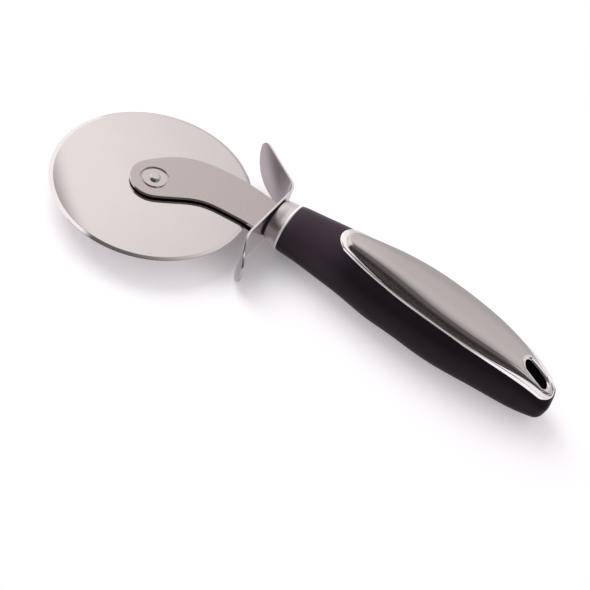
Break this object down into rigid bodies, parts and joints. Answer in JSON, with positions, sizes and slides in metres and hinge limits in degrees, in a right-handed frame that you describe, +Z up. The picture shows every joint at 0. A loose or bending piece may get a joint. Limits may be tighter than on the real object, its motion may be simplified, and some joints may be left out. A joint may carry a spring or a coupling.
{
  "type": "pizza cutter",
  "caption": "Hand-held pizza cutter: a free-running steel wheel in a swan-necked fork, an S-shaped finger guard and a dark moulded grip with a steel top plate and a hanging hole.",
  "frame": {"origin": "middle of the bounding box at its bottom, as the cutter lies flat with its top plate up", "axes": "+X along the grip from the wheel to the tail, +Z up along the wheel's axle, +Y to the grip's side of the wheel's centre"},
  "size_m": [0.2146, 0.0876, 0.0291],
  "materials": {
    "wheel_steel": "polished",
    "arm_steel": "satin, brushed along its length",
    "rivet_steel": "satin",
    "guard_steel": "satin",
    "ferrule_steel": "satin, turned",
    "plate_steel": "satin with polished edges",
    "inner_steel": "plain",
    "grip_plastic": "matt, fine grain"
  },
  "bodies": {
    "frame": {"axle_sleeve": "inner_steel", "axle_rivet": "rivet_steel", "rivet_washer_upper": "rivet_steel", "rivet_washer_lower": "rivet_steel", "fork_arm_upper": "arm_steel", "fork_arm_lower": "arm_steel", "tang_spacer": "inner_steel", "tang_rivets": "inner_steel", "tang_pin": "inner_steel", "finger_guard": "guard_steel", "ferrule": "ferrule_steel", "handle_body": "grip_plastic", "top_plate": "plate_steel", "plate_studs": "inner_steel"},
    "wheel": {"cutting_wheel": "wheel_steel"}
  },
  "joints": [
    {"name": "wheel_spin", "type": "hinge", "parent": "frame", "child": "wheel", "pos_m": [-0.06735, -0.00378, 0.01043], "axis": [0, 0, 1], "continuous": true}
  ]
}
